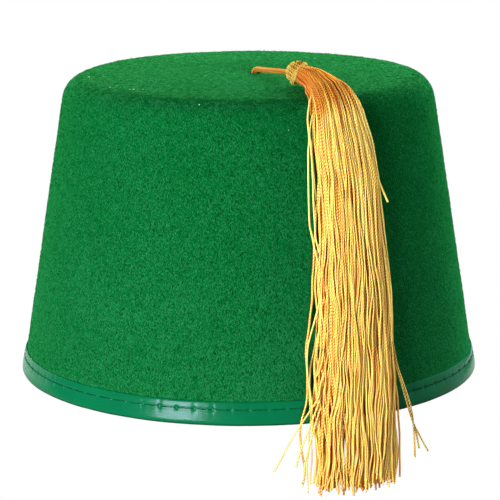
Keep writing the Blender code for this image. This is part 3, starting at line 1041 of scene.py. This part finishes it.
# Each thread rises and sinks by this share of the tassel's thickness, over this length.
BOB = 0.05
BOB_LENGTH = 83.0 * MM
LOCK_VARIATION = 0.6
LOOSENING = 0.7
OUTER_THREADS = 64
OUTER_STOPS = 460
OUTER_LOCKS = 9
OUTER_PULL = 0.16
OUTER_DIP = 0.15
OUTER_REACH, OUTER_JITTER = 0.985, 0.008
OUTER_DEPTH_SPREAD = 0.11
OUTER_END, OUTER_END_SPREAD = 222.6, 1.9
OUTER_TONE, OUTER_TONE_SPREAD = 0.74, 0.18
OUTER_PAINTED_LIGHT_TO_RIGHT = 0.10
OUTER_PITCHES = (0.82 * THREAD_PITCH, 1.12 * THREAD_PITCH)
OUTER_SHORTEST, LONGEST_END = 212.0, 226.0
OUT_OF_TASSEL = (0.31, -0.64, 0.70)
NECK_SHARE = 0.12
NECK_THICKNESS, FULL_THICKNESS = 0.72, 0.93


def tassel_columns(along):
    """The tassel's azimuth, half width, thickness and lift at distances over the hat."""
    rows = np.array(TASSEL_ROWS)
    fine = np.arange(rows[0, 0], rows[-1, 0] + 4.0, 1.0)
    window = np.hanning(TASSEL_SMOOTHING + 2)[1:-1]
    columns = []
    for column in rows.T[1:]:
        padded = np.pad(np.interp(fine, rows[:, 0], column), TASSEL_SMOOTHING // 2, mode="edge")
        smooth = np.convolve(padded, window / window.sum(), mode="valid")
        columns.append(np.interp(along / MM, fine, smooth))
    azimuth, width, thickness, lift = columns
    return np.radians(azimuth), width * MM / 2.0, thickness * MM, lift * MM


def tassel_routes(rng, places, depths, ends, stops, locks, pull, dip):
    """Threads by their places across the tassel, -1 to 1, and depths in it, 0 to 1.

    Pull is how far each has drawn towards the middle of its lock by the bottom, and dip
    how much deeper the threads at the lock's sides lie than those in its middle.
    """
    count = len(places)
    shares = np.linspace(0.0, 1.0, stops)
    along = THREAD_START + (ends[:, None] - THREAD_START) * shares
    azimuth, half_width, thickness, lift = tassel_columns(along)
    loose = np.clip((along - NECK_END) / (HANG_END - NECK_END), 0.0, 1.0) ** LOOSENING
    bounds = np.linspace(-1.0, 1.0, locks + 1)
    bounds[1:-1] += rng.uniform(-LOCK_VARIATION, LOCK_VARIATION, locks - 1) / locks
    lock = np.clip(np.searchsorted(bounds, places) - 1, 0, locks - 1)
    middle = ((bounds[:-1] + bounds[1:]) / 2.0)[lock]
    side = ((places - middle) / ((bounds[1:] - bounds[:-1]) / 2.0)[lock])[:, None]
    pulled = places[:, None] + (middle - places)[:, None] * pull * loose
    sway = np.zeros_like(along)
    for group, sways in ((lock, LOCK_SWAYS), (np.arange(count), THREAD_SWAYS)):
        for size, shortest, longest in sways:
            length = rng.uniform(shortest, longest, count)[group, None] * MM
            phase = rng.uniform(0.0, TURN, count)[group, None]
            sway += size * MM * np.sin(TURN * along / length + phase)
    slant = np.clip(SLANT * rng.standard_t(1.6, (count, 1)), -LONGEST_SLANT, LONGEST_SLANT)
    across = pulled * half_width + (sway + slant * loose) * loose
    share = np.clip(np.abs(across / half_width), 0.0, 1.0)
    bulge = (1.0 - share**TASSEL_ROUNDNESS) ** (1.0 / TASSEL_ROUNDNESS)
    bob = BOB * np.sin(TURN * along / BOB_LENGTH + rng.uniform(0.0, TURN, (count, 1)))
    depth = np.clip(depths[:, None] + bob - dip * side**2 * loose, 0.0, 1.0)
    rise = lift + THREAD_RADIUS + (thickness - 2.0 * THREAD_RADIUS) * bulge * depth
    radius = np.interp(along, OUTLINE[0], OUTLINE[1])
    return over_hat(along, azimuth + across / radius, rise)


def tassel_facing(routes):
    """Up and forwards, which is out of the tassel all the way, and never along a thread."""
    return np.broadcast_to(np.array(OUT_OF_TASSEL), routes.shape)


def thread_thickness(stops):
    """Threads are squeezed together at the neck, and full below it."""
    shares = np.linspace(0.0, 1.0, stops)
    return THREAD_RADIUS * np.interp(shares, (0.0, NECK_SHARE), (NECK_THICKNESS, FULL_THICKNESS))


outer_rng = np.random.default_rng(41)
outer_places = np.linspace(-OUTER_REACH, OUTER_REACH, OUTER_THREADS)
outer_places += outer_rng.normal(0.0, OUTER_JITTER, OUTER_THREADS)
outer_depths = 1.0 - OUTER_DEPTH_SPREAD * outer_rng.uniform(0.0, 1.0, OUTER_THREADS)
outer_ends = outer_rng.normal(OUTER_END, OUTER_END_SPREAD, OUTER_THREADS)
outer_ends = np.clip(outer_ends, OUTER_SHORTEST, LONGEST_END) * MM
outer_tones = outer_rng.normal(OUTER_TONE, OUTER_TONE_SPREAD, OUTER_THREADS)
# Painted light: threads towards the right are paler, making up for the light that falls from the
# left.
outer_tones += OUTER_PAINTED_LIGHT_TO_RIGHT * outer_places
outer_routes = tassel_routes(
    outer_rng, outer_places, outer_depths, outer_ends, OUTER_STOPS, OUTER_LOCKS, OUTER_PULL,
    OUTER_DIP,
)
outer_pitches = outer_rng.uniform(*OUTER_PITCHES, (OUTER_THREADS, 1))
GOLD_COLOURS = (
    (0.0, (0.52, 0.040, 0.001)), (0.3, (0.83, 0.23, 0.003)),
    (0.6, (0.95, 0.51, 0.030)), (1.0, (1.0, 0.80, 0.22)),
)
# Painted shade: the head's colours, a darker copy of the gold, for where the threads bend over the
# shoulder and catch no highlight.
HEAD_SHADE_COLOURS = (
    (0.0, (0.14, 0.006, 0.001)), (0.4, (0.26, 0.019, 0.001)),
    (0.85, (0.44, 0.048, 0.001)), (1.0, (0.92, 0.42, 0.055)),
)
gold_thread = thread_material(
    "gold_thread", GOLD_COLOURS, SATIN, shaded_head_stops=HEAD_SHADE_COLOURS, groove_shade=0.3, outward=1.5, bump=0.35
)
# Two meshes of every other thread, so that neither is too large.
for half in range(2):
    chosen = slice(half, None, 2)
    outer = thread_mesh(
        f"tassel_threads_{half + 1}", outer_routes[chosen], thread_thickness(OUTER_STOPS),
        outer_pitches[chosen], tassel_facing(outer_routes[chosen]),
        np.clip(outer_tones[chosen], 0.2, 1.1),
    )
    outer.data.materials.append(gold_thread)
    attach(outer, "root")
    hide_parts("tassel_skirt")


# ---- Inner tassel threads ----
# The rest of the tassel's threads, which lie behind the outer ones and show in the gaps
# between them. They are drawn plainer, since little of them is seen.
INNER_THREADS = 160
INNER_STOPS = 72
INNER_LOCKS = 13
INNER_PULL = 0.05
INNER_DIP = 0.1
INNER_REACH = 0.97
INNER_DEPTH = 0.88
INNER_END, INNER_END_SPREAD = 221.5, 2.2
INNER_SHORTEST = 210.0
INNER_THICKNESS = 1.2
inner_rng = np.random.default_rng(43)
inner_places = np.linspace(-INNER_REACH, INNER_REACH, INNER_THREADS)
inner_depths = inner_rng.permutation(INNER_DEPTH * np.linspace(0.0, 1.0, INNER_THREADS) ** 0.8)
inner_ends = inner_rng.normal(INNER_END, INNER_END_SPREAD, INNER_THREADS)
inner_ends = np.clip(inner_ends, INNER_SHORTEST, LONGEST_END) * MM
# Painted shade: deeper threads are darker. Painted light: those at the tassel's edges are paler,
# as they are in the light.
inner_shade_tones = 0.6 * inner_depths - 0.25 + 0.9 * inner_places**8
inner_routes = tassel_routes(
    inner_rng, inner_places, inner_depths, inner_ends, INNER_STOPS, INNER_LOCKS, INNER_PULL,
    INNER_DIP,
)
inner = thread_mesh(
    "tassel_threads_inner", inner_routes, INNER_THICKNESS * thread_thickness(INNER_STOPS),
    THREAD_PITCH, tassel_facing(inner_routes), inner_shade_tones, twisted=False,
)
inner.data.materials.append(gold_thread)
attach(inner, "root")
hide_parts("tassel_skirt")


# ---- Stray tassel threads ----
# Threads that have sprung out of the tassel: some bow off its left edge and go back in,
# and some splay out below the rim on both sides. Their hidden ends are tucked inside.

# Each thread's stops: distance over the hat in mm, azimuth in degrees and lift in mm.
STRAY_THREADS = (
    # The long bow that leaves the tassel at the shoulder, and the shorter one inside it.
    ((69.0, 20.9, 2.2), (72.5, 19.0, 2.8), (76.0, 17.5, 3.0), (80.2, 16.5, 3.0),
     (87.3, 16.7, 3.0), (91.7, 16.3, 3.0), (100.6, 16.0, 3.0),
     (112.5, 15.8, 3.0), (120.2, 15.8, 3.0), (125.3, 16.4, 3.0), (131.1, 17.1, 2.6),
     (138.6, 18.6, 2.0)),
    ((77.0, 18.9, 2.0), (84.4, 16.9, 3.0), (91.7, 17.1, 3.0), (102.3, 17.2, 3.0),
     (111.9, 17.1, 3.0), (120.8, 17.2, 3.0), (126.2, 17.4, 2.6), (134.8, 18.9, 2.0)),
    # The bow lower down.
    ((143.0, 19.2, 2.0), (150.0, 17.6, 2.6), (156.5, 16.2, 3.0), (162.6, 14.9, 3.0),
     (168.0, 14.0, 3.0), (176.1, 13.7, 3.0), (187.8, 14.4, 3.0), (199.5, 14.9, 2.6),
     (209.6, 16.5, 2.0)),
    # A short end that sticks out of the right side.
    ((97.9, 35.4, 2.0), (105.6, 36.6, 4.0), (110.1, 37.5, 4.5), (114.6, 38.5, 5.0)),
    # Three ends below the rim on the left, then three on the right.
    ((172.7, 18.9, 3.0), (182.1, 16.5, 4.5), (187.0, 15.7, 5.0), (195.1, 12.3, 5.0),
     (203.1, 9.0, 5.0), (214.5, 5.5, 5.0)),
    ((182.3, 17.9, 3.0), (189.8, 15.7, 4.5), (199.0, 13.4, 4.5), (207.1, 11.4, 4.5),
     (213.4, 10.5, 4.5)),
    ((188.1, 17.5, 3.0), (195.5, 15.3, 4.5), (205.7, 13.4, 4.5), (212.5, 12.5, 4.5),
     (218.1, 12.3, 4.5)),
    ((159.7, 36.0, 2.0), (168.6, 36.4, 4.0), (178.6, 37.0, 4.5), (188.3, 38.7, 4.5),
     (196.7, 40.0, 4.5), (205.3, 40.9, 4.5), (216.6, 41.4, 4.5)),
    ((160.7, 35.2, 2.0), (170.4, 35.9, 4.0), (180.7, 37.1, 4.5), (189.8, 38.3, 4.5),
     (199.3, 39.9, 4.5), (206.4, 41.6, 4.5), (213.4, 42.7, 4.5)),
    ((162.6, 34.8, 2.0), (172.3, 35.5, 4.0), (181.4, 37.1, 4.5), (191.0, 38.5, 4.5),
     (201.2, 40.3, 4.5), (209.5, 43.3, 4.5), (215.8, 45.8, 4.5)),
)
# Painted shade: the ends below the rim are darker, most of all those on the right, which face away
# from the light. The strays' colours are a darker copy of the gold thread's.
STRAY_SHADE_TONES = (1.05, 1.0, 1.0, 1.05, 0.85, 0.8, 0.75, 0.4, 0.35, 0.4)
STRAY_STOPS = 170

stray_routes = []
for rows in STRAY_THREADS:
    along, azimuth, lift = np.array(rows).T
    points = over_hat(along * MM, np.radians(azimuth), lift * MM)
    stray_routes.append(smooth_route(points, STRAY_STOPS))
stray_routes = np.array(stray_routes)
strays = thread_mesh(
    "tassel_strays", stray_routes, THREAD_RADIUS, THREAD_PITCH,
    tassel_facing(stray_routes), np.array(STRAY_SHADE_TONES), twisted=False,
)
STRAY_SHADED_COLOURS = ((0.0, (0.10, 0.045, 0.005)), (0.5, (0.40, 0.25, 0.04)), (1.0, (1.0, 0.76, 0.22)))
strays.data.materials.append(thread_material("shaded_stray_thread", STRAY_SHADED_COLOURS, SATIN, groove_shade=0.9))
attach(strays, "root")
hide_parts("tassel_skirt")


# ---- Stage, light and camera ----
# A pale floor far below, since the hat is shown as a head holds it. A soft light stands at
# the left front and a weak one at the right front, with one behind each side and a broad
# one behind the hat. Two weak panels only give the tape's ends something to mirror.
FLOOR_HEIGHT = -0.28
FLOOR_SIZE = 24.0
FLOOR_GREY = (0.06, 0.06, 0.06, 1.0)
BLACK = (0.0, 0.0, 0.0, 1.0)
WHITE = (1.0, 1.0, 1.0, 1.0)
WORLD_STRENGTH = 0.02
floor = start_with(bpy.ops.mesh.primitive_plane_add, size=FLOOR_SIZE)
bpy.ops.transform.translate(value=(0.0, 0.0, FLOOR_HEIGHT))
bpy.ops.object.mode_set(mode="OBJECT")
floor.name = floor.data.name = "floor"
floor_material, floor_tree, floor_shader = new_material(
    "white_floor",
    {"Roughness": 0.9, "Specular IOR Level": 0.0, "Emission Color": WHITE},
)
camera_ray = node(floor_tree, "LightPath").outputs["Is Camera Ray"]
floor_tree.links.new(camera_ray, floor_shader.inputs["Emission Strength"])
floor_tree.links.new(
    mixed(floor_tree, camera_ray, FLOOR_GREY, BLACK), floor_shader.inputs["Base Color"]
)
floor.data.materials.append(floor_material)
floor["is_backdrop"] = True

HAT_MIDDLE = Vector((0.0, 0.0, 0.06))
# Each light's place, its width and height, its power, and whether the tape mirrors it.
SOFT_LIGHTS = (
    ("key_light", (-0.80, -1.20, 0.19), (0.50, 0.90), 42.0, True),
    ("fill_light", (0.93, -1.10, 0.47), (0.60, 0.90), 4.5, False),
    ("left_light", (-1.08, 0.91, 0.57), (0.80, 0.90), 23.0, False),
    ("right_light", (1.08, 0.91, 0.57), (0.80, 0.90), 39.0, False),
    ("back_light", (0.0, 1.65, 0.47), (2.60, 1.00), 300.0, False),
    ("left_glow", (-1.13, 1.13, 0.40), (1.20, 1.40), 4.0, True),
    ("right_glow", (1.50, 0.30, 0.40), (2.20, 1.60), 4.0, True),
)
for name, place, size, energy, mirrored in SOFT_LIGHTS:
    lamp = bpy.data.lights.new(name, "AREA")
    lamp.shape = "RECTANGLE"
    lamp.size, lamp.size_y = size
    lamp.energy = energy
    holder = bpy.data.objects.new(name, lamp)
    bpy.context.collection.objects.link(holder)
    holder.location = place
    holder.rotation_euler = (HAT_MIDDLE - Vector(place)).to_track_quat("-Z", "Y").to_euler()
    holder.visible_camera = False
    holder.visible_glossy = mirrored

world = bpy.data.worlds.new("studio")
bpy.context.scene.world = world
world.use_nodes = True
background = world.node_tree.nodes["Background"]
background.inputs["Color"].default_value = WHITE
background.inputs["Strength"].default_value = WORLD_STRENGTH
bpy.context.scene.view_settings.view_transform = "Standard"

CAMERA_PLACE = Vector((0.0, -1.0, 0.2721))
CAMERA_PITCH = 0.21981
CAMERA_ROLL = -0.00652
FOCAL_PIXELS = 2441.6
PHOTO_SIDE = 500.0
PHOTO_CENTRE = 248.05
camera_data = bpy.data.cameras.new("camera")
camera_data.sensor_width = 36.0
camera_data.lens = camera_data.sensor_width * FOCAL_PIXELS / PHOTO_SIDE
camera_data.shift_x = (PHOTO_SIDE / 2.0 - PHOTO_CENTRE) / PHOTO_SIDE
camera = bpy.data.objects.new("camera", camera_data)
bpy.context.collection.objects.link(camera)
camera.matrix_world = (
    Matrix.Translation(CAMERA_PLACE)
    @ Matrix.Rotation(math.pi / 2.0 - CAMERA_PITCH, 4, "X")
    @ Matrix.Rotation(CAMERA_ROLL, 4, "Z")
)
bpy.context.scene.camera = camera

low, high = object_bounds()
